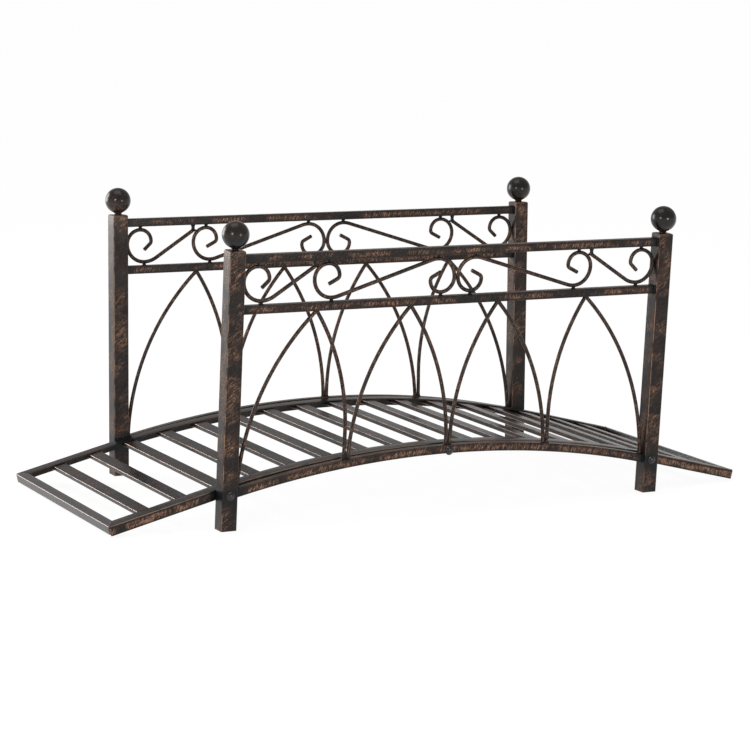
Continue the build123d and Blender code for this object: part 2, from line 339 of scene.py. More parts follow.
def rounded_section(width: float, height: float, radius: float, margin: float = 1.2) -> Section:
    """Rectangle with quarter-round corners, centred on the origin.

    Each corner is the corner centre plus radius times (cos a, sin a), with a over a quarter turn.
    A point a margin along the flats on each side keeps the shading of the flats flat, and a point
    in the middle of each flat marks it.

    Args:
        width: Size across.
        height: Size up.
        radius: Corner radius.
        margin: Length of flat beside each corner over which the wear fades.
    Returns:
        The outline, fully marked on its corners for the edge line of wear and painted highlight.
    """
    turns = np.linspace(0, pi / 2, ARC_STEPS + 1)
    points, marks = [], []
    for quarter in range(4):
        angle = quarter * pi / 2
        signs = np.sign(unit_at(angle + pi / 4))
        centre = signs * (width / 2 - radius, height / 2 - radius)
        side, after = unit_at(angle), unit_at(angle + pi / 2)
        before = centre + radius * side - margin * after
        arc = centre + radius * unit_at(turns + angle)
        beyond = centre + radius * after - margin * side
        points += [[side * (width / 2, height / 2)], [before], arc, [beyond]]
        # Corners carry the edge line: copper wear, with a painted highlight in the pale finishes.
        wear_and_highlight = np.sin(2 * turns)[:, None] * (1.0, 0.0, 0.0)
        marks += [[[0, 1, 0], [0, 0, 0]], wear_and_highlight, [[0, 0, 0]]]
    return Section(np.concatenate(points), np.concatenate(marks))


def round_section(radius: float, wear: float) -> Section:
    """Circle of radius times (cos a, sin a), evenly worn."""
    turns = np.arange(ROD_FACETS) * 2 * pi / ROD_FACETS
    return Section(radius * unit_at(turns), np.tile([wear, 1.0, 0.0], (ROD_FACETS, 1)))


def carry(section: Section, path: np.ndarray, across: np.ndarray, rounding: float = 0.0) -> Skin:
    """Carry a section along a flat path.

    A point is the path's point plus the section's first value times the path's normal in its own
    plane, plus the second value times the plane's normal. At each end the section shrinks by
    rounding times (1 - sin a) while the path runs out its last stretch of rounding times (1 - cos a).

    Args:
        section: Outline that is carried.
        path: Points along the middle of the bar, in rows.
        across: Unit normal of the plane that the path lies in.
        rounding: Radius of the edge at both cut ends.
    Returns:
        The bar's surface.
    """
    inset = np.zeros(len(path))
    if rounding:
        turns = np.linspace(0, pi / 2, 4)
        steps = np.diff(path, axis=0)[[0, -1]]
        steps /= np.linalg.norm(steps, axis=1)[:, None]
        ahead = rounding * (1 - np.cos(turns))
        shrink = rounding * (1 - np.sin(turns))
        head = path[0] + ahead[:, None] * steps[0]
        tail = path[-1] - ahead[::-1, None] * steps[1]
        path = np.concatenate([head, path[1:-1], tail])
        inset = np.concatenate([shrink, np.zeros(len(path) - 2 * len(turns)), shrink[::-1]])
    tangent = np.gradient(path, axis=0)
    tangent /= np.linalg.norm(tangent, axis=1)[:, None]
    normal = np.cross(across, tangent)
    scale = 1 - inset[:, None] / section.half
    flat = section.points[None] * scale[:, None]
    points = path[:, None] + flat[..., :1] * normal[:, None] + flat[..., 1:] * np.asarray(across, float)
    marks = np.tile(section.marks, (len(path), 1, 1))
    marks[..., 0] = np.maximum(marks[..., 0], (inset > 0)[:, None] * 0.8)
    return Skin(points, marks)


def lathe(outline: np.ndarray, wear: float = 0.0, black: float = 0.0, facets: int = 48) -> Skin:
    """Turn an outline of (radius, height) pairs about the upright axis.

    A point is (radius cos a, radius sin a, height), with a over a full turn.

    Args:
        outline: Radius and height of each ring.
        wear: Wear of the whole surface.
        black: How far it has been left black.
        facets: Number of points around.
    Returns:
        The turned surface.
    """
    turns = np.arange(facets) * 2 * pi / facets
    radius, height = outline[:, :1], outline[:, 1:]
    points = np.stack([radius * np.cos(turns), radius * np.sin(turns), height + 0 * turns], axis=-1)
    return Skin(points, np.tile([wear, 1.0, black], (*points.shape[:2], 1)))


def arc_points(centre: tuple[float, float], radius: float, start: float, end: float,
               steps: int) -> np.ndarray:
    """Points of a flat arc between two angles in degrees."""
    return np.array(centre) + radius * unit_at(np.radians(np.linspace(start, end, steps)))


def placed(skin: Skin, place: np.ndarray, axis: np.ndarray) -> Skin:
    """Move a lathed skin so that its origin is at a place and its upright axis points along an axis."""
    turn = np.array(Vector((0, 0, 1)).rotation_difference(Vector(axis)).to_matrix())
    return Skin(skin.points @ turn.T + place, skin.marks)


def join(name: str, skins: list[Skin], material: bpy.types.Material,
         replaces: str | None = None) -> bpy.types.Object:
    """Make one object of closed skins, ride it on the frame and dress it.

    Every ring is joined to the next by quads, and the first and last ring are closed by one face
    each. A skin whose enclosed volume comes out negative is turned round, so that faces look out.

    Args:
        name: Name of the piece.
        skins: Surfaces in millimetres.
        material: Finish of the piece.
        replaces: Node that the piece is shown in place of.
    Returns:
        The new object.
    """
    points, marks, corners, counts, offset = [], [], [], [], 0
    for skin in skins:
        rings, around = skin.points.shape[:2]
        ring, spot = np.meshgrid(np.arange(rings - 1), np.arange(around), indexing="ij")
        following = (spot + 1) % around
        quads = np.stack([ring * around + spot, ring * around + following,
                          (ring + 1) * around + following, (ring + 1) * around + spot], axis=-1)
        quads = quads.reshape(-1, 4)
        caps = np.stack([np.arange(around)[::-1], (rings - 1) * around + np.arange(around)])
        flat = skin.points.reshape(-1, 3)
        a, b, c, d = (flat[quads[:, k]] for k in range(4))
        volume = (np.einsum("ij,ij->", a, np.cross(b, c)) + np.einsum("ij,ij->", a, np.cross(c, d)))
        for fan in flat[caps]:
            volume += (np.cross(fan[1:-1], fan[2:]) @ fan[0]).sum()
        if volume < 0:
            quads, caps = quads[:, ::-1], caps[:, ::-1]
        corners += [(quads + offset).ravel(), (caps + offset).ravel()]
        counts += [np.full(len(quads), 4), np.full(2, around)]
        points.append(flat)
        marks.append(skin.marks.reshape(-1, 3))
        offset += len(flat)
    points, marks = np.concatenate(points) * MM, np.concatenate(marks)
    corners, counts = np.concatenate(corners), np.concatenate(counts)
    mesh = bpy.data.meshes.new(name)
    mesh.vertices.add(len(points))
    mesh.vertices.foreach_set("co", points.ravel())
    mesh.loops.add(len(corners))
    mesh.loops.foreach_set("vertex_index", corners)
    mesh.polygons.add(len(counts))
    mesh.polygons.foreach_set("loop_start", np.cumsum(counts) - counts)
    mesh.polygons.foreach_set("loop_total", counts)
    mesh.update(calc_edges=True)
    mesh.validate()
    mesh.shade_smooth()
    mesh.set_sharp_from_angle(angle=radians(42))
    stored = mesh.attributes.new(MARKS, "FLOAT_VECTOR", "POINT")
    stored.data.foreach_set("vector", marks.astype(np.float32).ravel())
    mesh.materials.append(material)
    piece = bpy.data.objects.new(name, mesh)
    bpy.context.scene.collection.objects.link(piece)
    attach(piece, "root")
    if replaces:
        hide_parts(replaces)
    log.info("%s: %d faces", name, len(counts))
    return piece


@dataclass
class Deck:
    """Slatted deck in its frame of angle bar. It is drawn flat and then bent to its arched line."""

    half_length: float = 550.99
    arc_half: float = 398.0
    radius: float = 1660.0
    end_gap: float = 2.4
    side_flange: float = 23.0
    side_leg: float = 15.0
    end_flange: float = 15.0
    end_leg: float = 13.0
    wall: float = 2.0
    bend: float = 1.8
    corner: float = 5.0
    arris: float = 0.35
    slats_each_side: int = 8
    last_slat_inset: float = 67.0
    slat_width: float = 20.0
    slat_thickness: float = 7.0
    slat_round: float = 1.2
    bead_half: float = 1.1
    bead_height: float = 0.4
    half_width: float = field(init=False)
    arc_angle: float = field(init=False)
    half_line: float = field(init=False)
    crown: float = field(init=False)

    def __post_init__(self) -> None:
        """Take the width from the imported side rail, and work out the bend, the line and the crown."""
        self.half_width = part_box("side_rail_rear")[1].y / MM
        self.arc_angle = asin(self.arc_half / self.radius)
        end_drop = self.radius * (1 - cos(self.arc_angle))
        end_drop += (self.half_length - self.arc_half) * tan(self.arc_angle)
        self.crown = self.end_gap + self.side_leg * cos(self.arc_angle) + end_drop
        straight = (self.half_length - self.arc_half) / cos(self.arc_angle)
        self.half_line = self.radius * self.arc_angle + straight

    def bent(self, flat: np.ndarray) -> np.ndarray:
        """Bend points of the flat deck to its line.

        The first value runs along the deck's top line: over the arc it turns the point by that
        length over the radius, and past it the line goes straight on. Depth is square to the line.

        Args:
            flat: Points of (length along the line, Y, depth below the top).
        Returns:
            Points of (X, Y, Z).
        """
        run, across, depth = np.moveaxis(flat, -1, 0)
        turned = np.clip(run / self.radius, -self.arc_angle, self.arc_angle)
        past = run - turned * self.radius
        x = self.radius * np.sin(turned) + past * np.cos(turned) - depth * np.sin(turned)
        fall = self.radius * (1 - np.cos(turned)) + past * np.sin(turned) + depth * np.cos(turned)
        return np.stack([x, across, self.crown - fall], axis=-1)

    def angle_bar(self, outer: np.ndarray, inward: np.ndarray, inner: np.ndarray, flange: float,
                  leg: float) -> Skin:
        """Angle bar that follows the deck's edge, flat: its flange on top, its leg hanging outside.

        A ring's points are given by their distance in from the outer face and their depth. Up to
        the wall's thickness that distance runs along the edge's normal, and beyond it the flange
        is stretched to its inner edge, which has a sharp corner where the outer one is rounded.

        Args:
            outer: Points of the outer edge in plan.
            inward: Unit normal of the outer edge at each of them.
            inner: Point of the flange's inner edge opposite each of them.
            flange: Width of the flange.
            leg: Depth of the leg.
        Returns:
            The bar's surface.
        """
        turns = np.linspace(0, pi / 2, ARC_STEPS + 1)
        small = self.arris * (1 - np.sin(np.radians([0.0, 45.0, 90.0])))
        fade, wall = 1.4, self.wall
        soft, plain, face = (0.4, 0.0, 0.0), (0.0, 0.0, 0.0), (0.0, 1.0, 0.0)
        # The bend carries the edge line: copper wear with a painted highlight.
        wear_and_highlight = np.sin(2 * turns)[:, None] ** 2 * (1.0, 0.0, 0.0)
        runs = [
            ([0.0, 0.0, 0.0], [leg - fade, leg / 2, self.bend + fade], [plain, face, plain]),
            (self.bend * (1 - np.cos(turns)), self.bend * (1 - np.sin(turns)), wear_and_highlight),
            ([self.bend + fade, flange / 2, flange - fade], [0.0, 0.0, 0.0], [plain, plain, plain]),
            (flange - small[::-1], small, [soft] * 3),
            (flange - small, wall - small[::-1], [soft] * 3),
            ([flange - fade, wall, wall], [wall, wall, leg - fade], [plain, plain, plain]),
            (wall - small[::-1], leg - small, [soft] * 3),
            (small, leg - small[::-1], [soft] * 3)]
        inset, depth, marks = (np.concatenate([np.asarray(run[k], float) for run in runs]) for k in range(3))
        near = np.minimum(inset, self.wall)
        share = np.clip((inset - self.wall) / (flange - self.wall), 0, 1)
        plan = outer[:, None] + near[None, :, None] * inward[:, None]
        leg_face = outer + self.wall * inward
        plan = np.where((inset > self.wall)[None, :, None],
                        leg_face[:, None] + share[None, :, None] * (inner - leg_face)[:, None], plan)
        down = np.broadcast_to(depth[None, :, None], (len(outer), len(depth), 1))
        return Skin(self.bent(np.concatenate([plan, down], axis=-1)), np.tile(marks, (len(outer), 1, 1)))

    def corner_edge(self, start: float, end: float) -> tuple[np.ndarray, np.ndarray]:
        """Outer edge round the front right corner in plan, between two turns in degrees.

        Args:
            start: Turn where it starts, with 0 at the side and 90 at the end of the deck.
            end: Turn where it ends.
        Returns:
            The edge's points and its inward normals.
        """
        turns = np.radians(np.linspace(start, end, ARC_STEPS + 1))
        inward = np.stack([-np.sin(turns), np.cos(turns)], axis=1)
        centre = np.array([self.half_line - self.corner, self.corner - self.half_width])
        return centre - self.corner * inward, inward

    @property
    def mitre_turn(self) -> float:
        """Turn in degrees at which the mitre, from corner to inner corner, crosses the rounded edge."""
        lean = atan2(self.end_flange, self.side_flange)
        reach = hypot(self.side_flange, self.end_flange)
        return np.degrees(lean + asin((self.side_flange - self.end_flange) / reach))

    def side_rail(self) -> Skin:
        """Front side rail between the mitres of its two corners."""
        corner, corner_inward = self.corner_edge(0, self.mitre_turn)
        straight = self.half_line - self.corner
        runs = np.linspace(-straight, straight, 181)[1:-1]
        middle = np.stack([runs, np.full(len(runs), -self.half_width)], axis=1)
        left = corner[::-1] * (-1, 1)
        outer = np.concatenate([left, middle, corner])
        straight_inward = np.tile([0.0, 1.0], (len(runs), 1))
        inward = np.concatenate([corner_inward[::-1] * (-1, 1), straight_inward, corner_inward])
        limit = self.half_line - self.end_flange
        reach = np.where(np.abs(outer[:, 0]) >= straight, np.sign(outer[:, 0]) * limit, outer[:, 0])
        inner = np.stack([np.clip(reach, -limit, limit),
                          np.full(len(outer), self.side_flange - self.half_width)], axis=1)
        return self.angle_bar(outer, inward, inner, self.side_flange, self.side_leg)

    def end_rail(self) -> Skin:
        """Right end rail between its mitres."""
        corner, corner_inward = self.corner_edge(self.mitre_turn, 90)
        straight = self.half_width - self.corner
        runs = np.linspace(-straight, straight, 41)[1:-1]
        middle = np.stack([np.full(len(runs), self.half_line), runs], axis=1)
        outer = np.concatenate([corner, middle, corner[::-1] * (1, -1)])
        straight_inward = np.tile([-1.0, 0.0], (len(runs), 1))
        inward = np.concatenate([corner_inward, straight_inward, corner_inward[::-1] * (1, -1)])
        limit = self.half_width - self.side_flange
        inner = np.stack([np.full(len(outer), self.half_line - self.end_flange),
                          np.clip(outer[:, 1], -limit, limit)], axis=1)
        return self.angle_bar(outer, inward, inner, self.end_flange, self.end_leg)

    def slat(self, run: float) -> Skin:
        """Flat tube across the deck, under the flanges, at a length along the deck's line."""
        section = rounded_section(self.slat_thickness, self.slat_width, self.slat_round, margin=0.9)
        reach = self.half_width - self.wall
        path = np.stack([np.zeros(9), np.linspace(-reach, reach, 9), np.zeros(9)], axis=1)
        skin = carry(section, path, np.array([1.0, 0.0, 0.0]))
        flat = skin.points + (run, 0, self.wall + self.slat_thickness / 2)
        return Skin(self.bent(flat), skin.marks)

    def mitre_weld(self) -> Skin:
        """Low bead along the front right mitre: an ellipse in section, rippled by a sine along it."""
        turns = np.radians(np.linspace(0, 360, 13)[:-1])
        shares = np.linspace(0.04, 0.87, 42)[:, None]
        inner = np.array([self.half_line - self.end_flange, self.side_flange - self.half_width])
        outer = np.array([self.half_line, -self.half_width])
        line = inner + shares * (outer - inner)
        side = np.array([outer[1] - inner[1], inner[0] - outer[0]]) / np.linalg.norm(outer - inner)
        ripple = 1 + 0.16 * np.sin(shares * 60)
        plan = line[:, None] + (self.bead_half * ripple * np.cos(turns))[..., None] * side
        depth = (-self.bead_height * ripple * np.sin(turns))[..., None]
        marks = np.tile([0.2, 1.0, 0.6], (*plan.shape[:2], 1))
        return Skin(self.bent(np.concatenate([plan, depth], axis=-1)), marks)

    def build(self, along: bpy.types.Material, across: bpy.types.Material, slats: bpy.types.Material,
              post_x: float) -> None:
        """Build and dress every piece of the deck.

        Args:
            along: Finish of the side rails.
            across: Finish of the end rails and the corner beads.
            slats: Finish of the slats.
            post_x: Distance of the posts from mid span, where the side rails are left black.
        """
        rail = self.side_rail().blackened(np.array([-post_x, 0.0, post_x]), 34.0, axis=0)
        for side in Side:
            turned = Skin(rail.points * (1, -side.value, 1), rail.marks)
            node = f"side_rail_{side.word}"
            join(f"{node}_bar", [turned], along, node)
        rail = self.end_rail()
        for hand in Hand:
            turned = Skin(rail.points * (hand.value, 1, 1), rail.marks)
            node = f"end_rail_{hand.word}"
            join(f"{node}_bar", [turned], across, node)
        pitch = (self.half_line - self.last_slat_inset) / self.slats_each_side
        for number in range(-self.slats_each_side, self.slats_each_side + 1):
            node = f"slat_{number + self.slats_each_side + 1:02d}"
            join(f"{node}_tube", [self.slat(number * pitch)], slats, node)
        bead = self.mitre_weld()
        for hand in Hand:
            for side in Side:
                turned = Skin(bead.points * (hand.value, -side.value, 1), bead.marks)
                join(f"mitre_weld_{hand.word}_{side.word}", [turned], across)


@dataclass
class RodLine:
    """Middle line of a bent rod in a railing's upright plane, drawn piece by piece."""

    x: float
    z: float
    heading: float = 0.0
    step: float = 2.0
    runs: list[np.ndarray] = field(default_factory=list)

    def ahead(self, length: float) -> "RodLine":
        """Go straight on."""
        shares = np.linspace(0, length, max(2, int(length / (4 * self.step)) + 1))
        return self._take(np.array([self.x, self.z]) + shares[:, None] * unit_at(radians(self.heading)))

    def bend(self, radius: float, turn: float) -> "RodLine":
        """Turn clockwise about a centre on the right, or counterclockwise where turn is negative."""
        way = 1 if turn > 0 else -1
        facing = radians(self.heading)
        centre = np.array([self.x + way * radius * sin(facing), self.z - way * radius * cos(facing)])
        count = max(3, int(abs(radians(turn)) * radius / self.step) + 2)
        angles = facing + way * pi / 2 - np.linspace(0, radians(turn), count)
        self.heading -= turn
        return self._take(centre + radius * unit_at(angles))

    def _take(self, run: np.ndarray) -> "RodLine":
        """Add a run and stand at its end."""
        self.x, self.z = run[-1]
        self.runs.append(run if not self.runs else run[1:])
        return self

    def path(self) -> np.ndarray:
        """Points of the whole line as X, 0, Z."""
        flat = np.concatenate(self.runs)
        return np.stack([flat[:, 0], np.zeros(len(flat)), flat[:, 1]], axis=1)


@dataclass
class Railing:
    """Welded railing panel, drawn upright above the X axis and then leaned outwards."""

    deck: Deck
    post_spacing: float = 740.0
    post_track: float = 410.0
    post_size: float = 25.0
    post_height: float = 418.6
    post_corner: float = 1.6
    cap_round: float = 2.4
    lean: float = radians(2.2)
    rail: float = 13.0
    rail_corner: float = 1.5
    top_rail_drop: float = 7.0
    scroll_band: float = 62.3
    lower_radius: float = 1567.5
    lower_bend_half: float = 340.0
    ball: float = 20.17
    neck: float = 5.4
    neck_length: float = 3.0
    rod: float = 3.0
    rod_gap: float = 0.3
    stud_height: float = 2.4
    stud: float = 2.7
    stud_flare: float = 1.5
    end_bay: float = 115.0
    crown_radius: float = 22.5
    inner_radius: float = 18.5
    foot_radius: float = 38.0
    hook_radius: float = 6.0
    hook_turn: float = 63.0
    hook_length: float = 16.0
    end_hook_turn: float = 47.0
    end_hook_length: float = 14.0
    end_bar_drop: float = 2.0
    quarter_foot: float = 175.0
    inner_apex: float = 75.8
    outer_apex: float = 234.0
    outer_upright: float = 42.0
    inner_leg: float = 362.0
    outer_leg: float = 384.0
    post_bolt: float = 54.0
    post_head: float = 5.2
    post_washer: float = 6.8
    middle_bolt: float = 95.2
    middle_head: float = 5.6
    middle_washer: float = 7.4
    spacer_radius: float = 6.0
    spacer_length: float = 8.6
    bead: float = 1.15
    bead_ripple: float = 0.14
    ripple_pitch: float = 2.2
    apex_weld: float = 3.4
    post_x: float = field(init=False)
    inner_face: float = field(init=False)
    top_bottom: float = field(init=False)
    mid_top: float = field(init=False)
    mid_bottom: float = field(init=False)
    lower_slope: float = field(init=False)
    rod_high: float = field(init=False)
    rod_low: float = field(init=False)
    outer_radius: float = field(init=False)
    half_gap: float = field(init=False)
    long_start: float = field(init=False)

    def __post_init__(self) -> None:
        """Work out the heights and places that follow from the sizes."""
        self.post_x = self.post_spacing / 2
        self.inner_face = self.post_x - self.post_size / 2
        self.top_bottom = self.post_height - self.top_rail_drop - self.rail
        self.mid_top = self.top_bottom - self.scroll_band
        self.mid_bottom = self.mid_top - self.rail
        self.lower_slope = tan(asin(self.lower_bend_half / self.lower_radius))
        self.rod_high = self.top_bottom - self.stud_height - self.rod
        self.rod_low = self.mid_top + self.stud_height + self.rod
        self.outer_radius = self.rod_high - self.rod_low - self.crown_radius
        self.half_gap = self.rod + self.rod_gap / 2
        self.long_start = -(self.inner_face - self.end_bay) + self.rod

    def leaned(self, skin: Skin, side: Side = Side.FRONT, mirrored: bool = False) -> Skin:
        """Lean a piece that was drawn upright, on either side, and mirrored across mid span if asked.

        Args:
            skin: Surface drawn above the X axis.
            side: Railing that it belongs to.
            mirrored: True for the twin across mid span.
        Returns:
            The surface in its place.
        """
        x, y, z = np.moveaxis(skin.points, -1, 0)
        out = self.post_track / 2 + z * sin(self.lean) - y * cos(self.lean)
        up = y * sin(self.lean) + z * cos(self.lean)
        return Skin(np.stack([-x if mirrored else x, side.value * out, up], axis=-1), skin.marks)

    def lower_height(self, x: np.ndarray) -> np.ndarray:
        """Height of the lower rail's middle line: an arc level with the deck's crown, then straight."""
        bent = np.minimum(np.abs(x), self.lower_bend_half)
        fall = self.lower_radius - np.sqrt(self.lower_radius ** 2 - bent ** 2)
        return self.deck.crown - self.rail / 2 - fall - (np.abs(x) - bent) * self.lower_slope

    def post(self) -> Skin:
        """Right post: a tube cut level with the ground, with a rounded cap.

        Rings go up the post. The lowest one is sheared so that it lies in the ground once leaned,
        and the last ones shrink by cap_round times (1 - cos a) as they climb cap_round times sin a.
        """
        turns = np.linspace(0, pi / 2, ARC_STEPS + 2)
        half = self.post_size / 2
        shaft = np.linspace(self.post_size, self.post_height - self.cap_round, 24)
        cap = self.post_height - self.cap_round * (1 - np.sin(turns[1:]))
        heights = np.concatenate([[0.0, 1.5], shaft, cap, [self.post_height]])
        shrink = np.concatenate([[0.0, 0.0], np.zeros(24), self.cap_round * (1 - np.cos(turns[1:])),
                                 [self.cap_round + 1.4]])
        section = rounded_section(self.post_size, self.post_size, self.post_corner, margin=1.6)
        flat = section.points[None] * (1 - shrink[:, None, None] / half)
        level = np.where(heights[:, None] < 0.5, -flat[..., 1] * tan(self.lean), heights[:, None])
        points = np.stack([flat[..., 0] + self.post_x, flat[..., 1], level], axis=-1)
        rim = np.where((shrink > 0) & (shrink < self.cap_round), 0.8, 0.0)
        rim[:1] = 0.4
        marks = np.tile(section.marks, (len(heights), 1, 1))
        marks[..., 0] = np.maximum(marks[..., 0], rim[:, None])
        return Skin(points, marks)

    def finial(self) -> Skin:
        """Ball on a neck: a hollow fillet where the neck meets the post, and the ball's round."""
        centre = self.neck_length + sqrt(self.ball ** 2 - self.neck ** 2)
        meet = np.degrees(asin(self.neck / self.ball))
        start = -90 + meet + 5
        ball = arc_points((0.0, centre), self.ball, start, 89.6, 44)
        foot = np.array([[1.6, 0.0], [0.9, 0.35], [0.3, 1.1], [0.0, 1.9]]) + (self.neck, 0.0)
        skin = lathe(np.concatenate([foot, ball]), facets=64)
        return Skin(skin.points + (self.post_x, 0, self.post_height), skin.marks)

    def straight_rail(self, bottom: float) -> Skin:
        """Square tube between the posts."""
        path = np.zeros((121, 3))
        path[:, 0] = np.linspace(-self.inner_face, self.inner_face, 121)
        path[:, 2] = bottom + self.rail / 2
        return carry(rounded_section(self.rail, self.rail, self.rail_corner), path, ACROSS)

    def lower_rail(self) -> Skin:
        """Arched square tube whose ends are cut upright at the posts."""
        path = np.zeros((161, 3))
        path[:, 0] = np.linspace(-self.inner_face, self.inner_face, 161)
        path[:, 2] = self.lower_height(path[:, 0])
        skin = carry(rounded_section(self.rail, self.rail, self.rail_corner), path, ACROSS)
        for end, ring in ((-1, 0), (1, -1)):
            past = end * self.inner_face - skin.points[ring, :, 0]
            skin.points[ring] += np.stack([past, 0 * past, -end * past * self.lower_slope], axis=-1)
        return skin

    def curl(self, bar_x: float, bar_z: float, foot_x: float, turn: float, length: float) -> np.ndarray:
        """Rod line down a sloping bar, round its foot, up over the crown and into the hook."""
        across, up = bar_x - foot_x, bar_z - self.rod_low - self.foot_radius
        reach = hypot(across, up)
        slope = np.degrees(asin(self.foot_radius / reach) + atan2(up, across))
        line = RodLine(bar_x, bar_z, 180 + slope).ahead(sqrt(reach ** 2 - self.foot_radius ** 2))
        line.bend(self.foot_radius, slope).bend(self.outer_radius, 90).bend(self.crown_radius, 90)
        line.bend(self.inner_radius, 90).bend(self.hook_radius, turn).ahead(length)
        return line.path()

    def rod_skin(self, path: np.ndarray, wear: float = 0.25) -> Skin:
        """Round rod along a path in the railing's plane."""
        return carry(round_section(self.rod, wear), path, ACROSS, rounding=0.7)

    def stud_skin(self, x: float, low: float, high: float) -> Skin:
        """Stud flared by its welds: the radius grows with the square of the distance from its middle."""
        shares = np.linspace(-1, 1, 9)
        heights = (low + high) / 2 + shares * (high - low) / 2
        skin = lathe(np.stack([self.stud + self.stud_flare * shares ** 2, heights], axis=1), facets=24)
        return Skin(skin.points + (x, 0, 0), np.maximum(skin.marks, (0.0, 0.0, 0.9)))

    def curl_studs(self, start: float) -> list[Skin]:
        """Studs under the foot and over the crown of a curl whose outer side is at start."""
        return [self.stud_skin(start + self.outer_radius, self.mid_top, self.rod_low - self.rod / 2),
                self.stud_skin(start + self.crown_radius, self.rod_high + self.rod / 2, self.top_bottom)]

    def weld_spot(self, x: float, z: float, radius: float = 1.5) -> Skin:
        """Small blackened lump of weld, flattened across the railing."""
        ball = lathe(arc_points((0.0, 0.0), radius, -86, 86, 9), black=1.0, facets=12)
        return Skin(ball.points * (1.0, 0.85, 1.25) + (x, 0, z), ball.marks)

    def weld_collar(self, x: float, z: float) -> Skin:
        """Flared collar of weld round the foot of a rod."""
        outline = np.array([[4.9, -0.8], [4.5, 0.1], [3.9, 0.7], [3.45, 1.5], [3.2, 2.3], [2.6, 2.6]])
        collar = lathe(outline, black=0.9, facets=18)
        return Skin(collar.points + (x, 0, z), collar.marks)

    def weld_frame(self, x: float, low: float, high: float) -> Skin:
        """Rippled bead round the end of a rail on a post.

        The bead is a circle in section, its radius rippled by a sine along the rail's outline.
        """
        half, tall = self.rail / 2, (high - low) / 2
        corners = np.array([(-half, -tall), (half, -tall), (half, tall), (-half, tall), (-half, -tall)])
        lengths = np.concatenate([[0.0], np.cumsum(np.linalg.norm(np.diff(corners, axis=0), axis=1))])
        runs = np.linspace(0, lengths[-1], 131)
        line = np.stack([np.interp(runs, lengths, corners[:, k]) for k in range(2)], axis=1)
        tangent = np.gradient(line, axis=0)
        tangent /= np.linalg.norm(tangent, axis=1)[:, None]
        outward = np.stack([tangent[:, 1], -tangent[:, 0]], axis=1)
        turns = np.arange(9) * 2 * pi / 9
        size = (self.bead + self.bead_ripple * np.sin(runs * 2 * pi / self.ripple_pitch))[:, None]
        across = size * np.cos(turns)
        flat = line[:, None] + (size * np.sin(turns))[..., None] * outward[:, None]
        points = np.stack([x + across, flat[..., 0], flat[..., 1] + (low + high) / 2], axis=-1)
        return Skin(points, np.tile([0.0, 1.0, 1.0], (*points.shape[:2], 1)))

    def bolt(self, x: float, z: float, face: float, head: float, washer: float) -> list[Skin]:
        """Domed bolt head on a washer, pointing out of the railing.

        The dome is an ellipse over the head's radius, with a short straight rim.

        Args:
            x: Place along the bridge.
            z: Height.
            face: Y of the face that it sits on, before the railing is leaned.
            head: Radius of the head.
            washer: Radius of the washer.
        Returns:
            Washer and head.
        """
        turns = np.linspace(0, pi / 2 - 0.03, 10)
        ring = np.array([[washer - 0.3, -0.6], [washer, 0.0], [washer, 0.9], [washer - 0.35, 1.2],
                         [head * 0.5, 1.25]])
        rim = np.array([[head * 0.6, 1.0], [head - 0.25, 1.0], [head, 1.25]])
        dome = np.stack([head * np.cos(turns), 1.9 + head * 0.5 * np.sin(turns)], axis=1)
        place = np.array([x, -face, z])
        parts = [lathe(ring, wear=0.35, black=0.7, facets=32),
                 lathe(np.concatenate([rim, dome]), wear=0.3, black=0.75, facets=32)]
        return [placed(part, place, -ACROSS) for part in parts]

    def spacer(self) -> Skin:
        """Short sleeve on the middle bolt, from the lower rail to the deck's side rail."""
        radius, length = self.spacer_radius, self.spacer_length
        outline = np.array([[radius - 0.6, -0.4], [radius, 0.2], [radius, length - 0.6],
                            [radius - 0.6, length]])
        place = np.array([0.0, self.rail / 2, self.middle_bolt])
        return placed(lathe(outline, wear=0.2, black=0.8, facets=28), place, ACROSS)

    def long_scroll(self) -> list[Skin]:
        """Scroll left of mid span: two curls, the second turned half round about the middle of the bar."""
        middle = np.array([(self.long_start - self.half_gap) / 2, 0, (self.rod_high + self.rod_low) / 2])
        foot = self.long_start + self.outer_radius
        path = self.curl(middle[0], middle[2], foot, self.hook_turn, self.hook_length)
        whole = np.concatenate([path[::-1], 2 * middle - path[1:]])
        studs = self.curl_studs(self.long_start)
        turned = [Skin(2 * middle - stud.points, stud.marks) for stud in studs]
        touch = self.rod_high - self.outer_radius
        welds = [self.weld_spot(0.0, touch), self.weld_spot(0.0, touch - 2.4, 1.2)]
        return [self.rod_skin(whole), *studs, *turned, *welds]

    def end_scroll(self) -> list[Skin]:
        """Curl beside the left post, on a bar that ends next to the long scroll's crown."""
        start = -self.inner_face + self.half_gap
        crown = self.long_start + self.crown_radius
        rise = self.crown_radius - self.end_bar_drop
        bar_x = crown - sqrt((self.crown_radius + 2 * self.half_gap) ** 2 - rise ** 2)
        bar_z = self.rod_high - self.end_bar_drop
        path = self.curl(bar_x, bar_z, start + self.outer_radius, self.end_hook_turn, self.end_hook_length)
        stub = self.stud_skin(bar_x - self.stud, bar_z - self.end_bar_drop, self.top_bottom)
        post_side = -self.inner_face
        touch = self.rod_low + self.outer_radius
        share = (self.crown_radius + self.half_gap) / (self.crown_radius + 2 * self.half_gap)
        between_x = crown + share * (bar_x - crown)
        between_z = self.rod_high - self.crown_radius + share * rise
        welds = [self.weld_spot(post_side, touch), self.weld_spot(post_side, touch - 3.0, 1.3),
                 self.weld_spot(between_x, between_z)]
        return [self.rod_skin(path), *self.curl_studs(start), stub, *welds]

